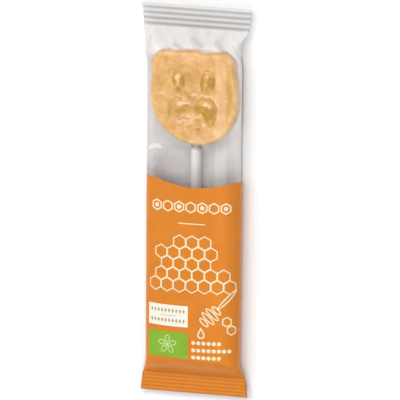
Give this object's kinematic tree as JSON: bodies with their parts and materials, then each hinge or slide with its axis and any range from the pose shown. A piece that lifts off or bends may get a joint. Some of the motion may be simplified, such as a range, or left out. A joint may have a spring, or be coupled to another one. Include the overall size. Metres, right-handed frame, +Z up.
{
  "type": "honey lollipop in a sealed sachet",
  "caption": "Flat honey candy shaped as a bear's head on a white stick, sealed in a long film sachet with a clear window, an orange printed half and ridged end seals, lying on its back.",
  "frame": {"origin": "on the floor under the middle of the sachet as it lies on its back", "axes": "+X across the sachet, +Y along it to the clear window end, +Z up out of its front"},
  "size_m": [0.0418, 0.149, 0.0121],
  "materials": {
    "printed_film": "glossy orange printed packing film",
    "clear_film": "clear glossy packing film of the window and its seal",
    "back_film": "pale pearl packing film of the back",
    "print_cream": "cream printing ink under the film's gloss",
    "print_white": "white printing ink under the film's gloss",
    "print_green": "green printing ink under the film's gloss",
    "print_brown": "brown printing ink of the white label's small marks",
    "print_pale_green": "pale green printing ink of the green label's flower",
    "honey_candy": "hard translucent honey candy",
    "stick": "satin white moulded stick"
  },
  "bodies": {
    "root": {"sachet": "printed_film"}
  },
  "joints": []
}
